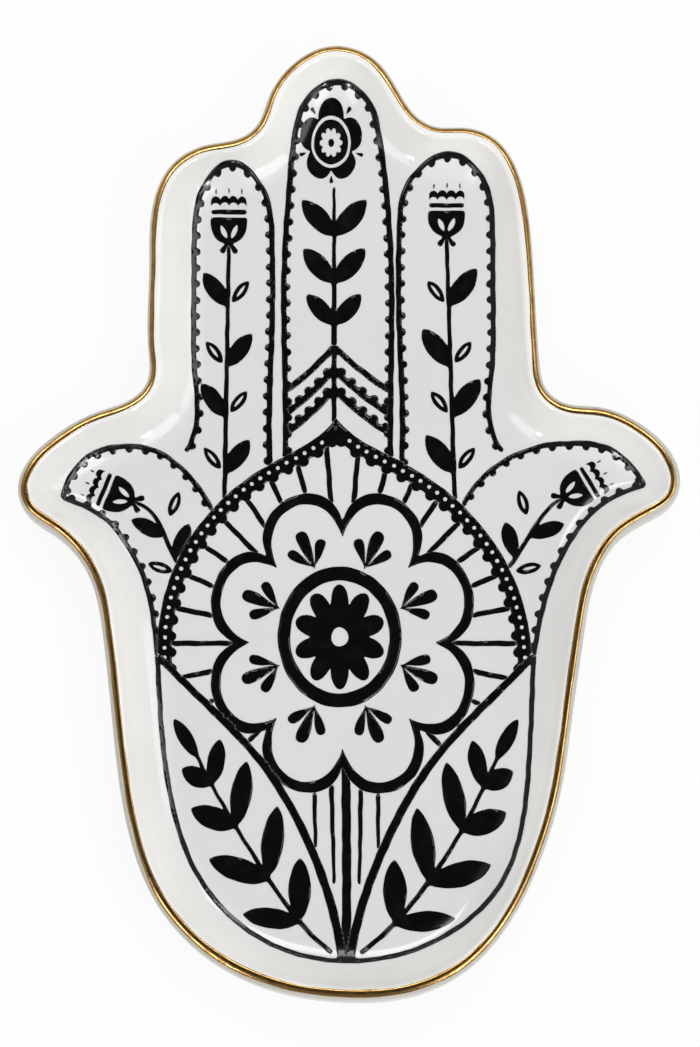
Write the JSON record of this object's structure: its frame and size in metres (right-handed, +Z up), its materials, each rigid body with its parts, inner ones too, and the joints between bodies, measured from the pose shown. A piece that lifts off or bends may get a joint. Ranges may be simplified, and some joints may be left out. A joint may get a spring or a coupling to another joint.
{
  "type": "hamsa hand ornament",
  "caption": "Shallow white glazed ceramic dish in the shape of an open hand, with a gold rim line, a black folk print on its floor and a raised foot ring.",
  "frame": {"origin": "centre of the dish's bounding box on the table plane that its foot ring stands on", "axes": "+Z up from the table, +Y along the middle finger to its tip, +X across the hand to the viewer's right"},
  "size_m": [0.1034, 0.151, 0.01],
  "materials": {
    "bisque_clay": "matte",
    "white_glaze": "gloss",
    "gold_lustre": "fired gold lustre",
    "black_enamel_print": "gloss on-glaze enamel"
  },
  "bodies": {
    "root": {"bisque_body": "bisque_clay", "glaze_coat": "white_glaze", "underside_glaze": "white_glaze", "gold_rim_line": "gold_lustre", "left_finger_border": "black_enamel_print", "left_finger_leaf_stem": "black_enamel_print", "left_finger_tulip": "black_enamel_print", "left_palm_branch": "black_enamel_print", "left_thumb_border": "black_enamel_print", "left_thumb_leaf_stem": "black_enamel_print", "left_thumb_tulip": "black_enamel_print", "middle_finger_border": "black_enamel_print", "middle_finger_chevrons": "black_enamel_print", "middle_finger_leaf_stem": "black_enamel_print", "middle_finger_rosette": "black_enamel_print", "palm_border_lines": "black_enamel_print", "palm_dotted_arch": "black_enamel_print", "palm_flower_outline": "black_enamel_print", "palm_rays": "black_enamel_print", "palm_ring": "black_enamel_print", "palm_rosette": "black_enamel_print", "palm_sprigs": "black_enamel_print", "palm_stalk_lines": "black_enamel_print", "right_finger_border": "black_enamel_print", "right_finger_leaf_stem": "black_enamel_print", "right_finger_tulip": "black_enamel_print", "right_palm_branch": "black_enamel_print", "right_thumb_border": "black_enamel_print", "right_thumb_leaf_stem": "black_enamel_print", "right_thumb_tulip": "black_enamel_print"}
  },
  "joints": []
}
